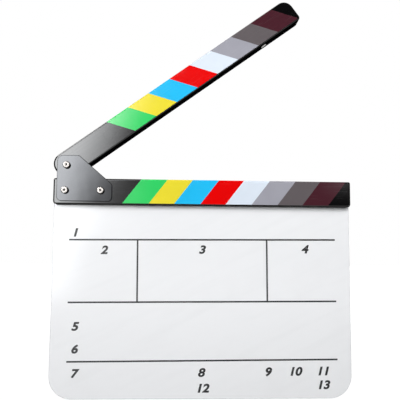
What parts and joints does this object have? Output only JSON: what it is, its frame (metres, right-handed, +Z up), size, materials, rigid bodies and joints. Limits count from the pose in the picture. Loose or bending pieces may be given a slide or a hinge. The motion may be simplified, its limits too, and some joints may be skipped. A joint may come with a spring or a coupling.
{
  "type": "clapperboard",
  "caption": "White slate board under hinged clap sticks with slanted colour stripes; the upper stick swings on a pivot between steel hinge plates and claps onto the lower one.",
  "frame": {"origin": "middle of the board's bottom edge, half way through the board's thickness", "axes": "+X to the right seen from the front, +Y away from the viewer (the striped front faces -Y), +Z up"},
  "size_m": [0.2986, 0.033, 0.4035],
  "materials": {
    "white_acrylic": "glossy dry-wipe acrylic sheet",
    "black_lacquered_wood": "gloss black lacquer",
    "stripe_vinyl": "glossy printed vinyl in slanted colour stripes",
    "black_painted_steel": "semi-gloss black paint",
    "bright_steel": "bright plated",
    "zinc_steel": "zinc plated",
    "nickel_plate": "nickel plated",
    "brass": "turned",
    "nylon": "natural nylon"
  },
  "bodies": {
    "slate": {"slate_board": "white_acrylic", "lower_stick": "black_lacquered_wood", "lower_stripe_label": "stripe_vinyl", "front_hinge_plate": "black_painted_steel", "rear_hinge_plate": "black_painted_steel", "lower_magnet": "nickel_plate", "pivot_screw": "bright_steel", "pivot_washer": "bright_steel", "pivot_lock_nut": "bright_steel", "left_plate_screw": "bright_steel", "left_plate_washer": "bright_steel", "left_plate_nut": "bright_steel", "right_plate_screw": "bright_steel", "right_plate_washer": "bright_steel", "right_plate_nut": "bright_steel", "pivot_lock_ring": "nylon", "board_screw_1": "zinc_steel", "board_screw_2": "zinc_steel"},
    "clap_arm": {"arm_stick": "black_lacquered_wood", "arm_stripe_label": "stripe_vinyl", "pivot_bush": "brass", "arm_magnet": "nickel_plate", "front_friction_washer": "nylon", "rear_friction_washer": "nylon"}
  },
  "joints": [
    {"name": "clap_hinge", "type": "hinge", "parent": "slate", "child": "clap_arm", "pos_m": [-0.1359, 0, 0.2277], "axis": [0, -1, 0], "range_deg": [-36.4, 53.7]}
  ]
}
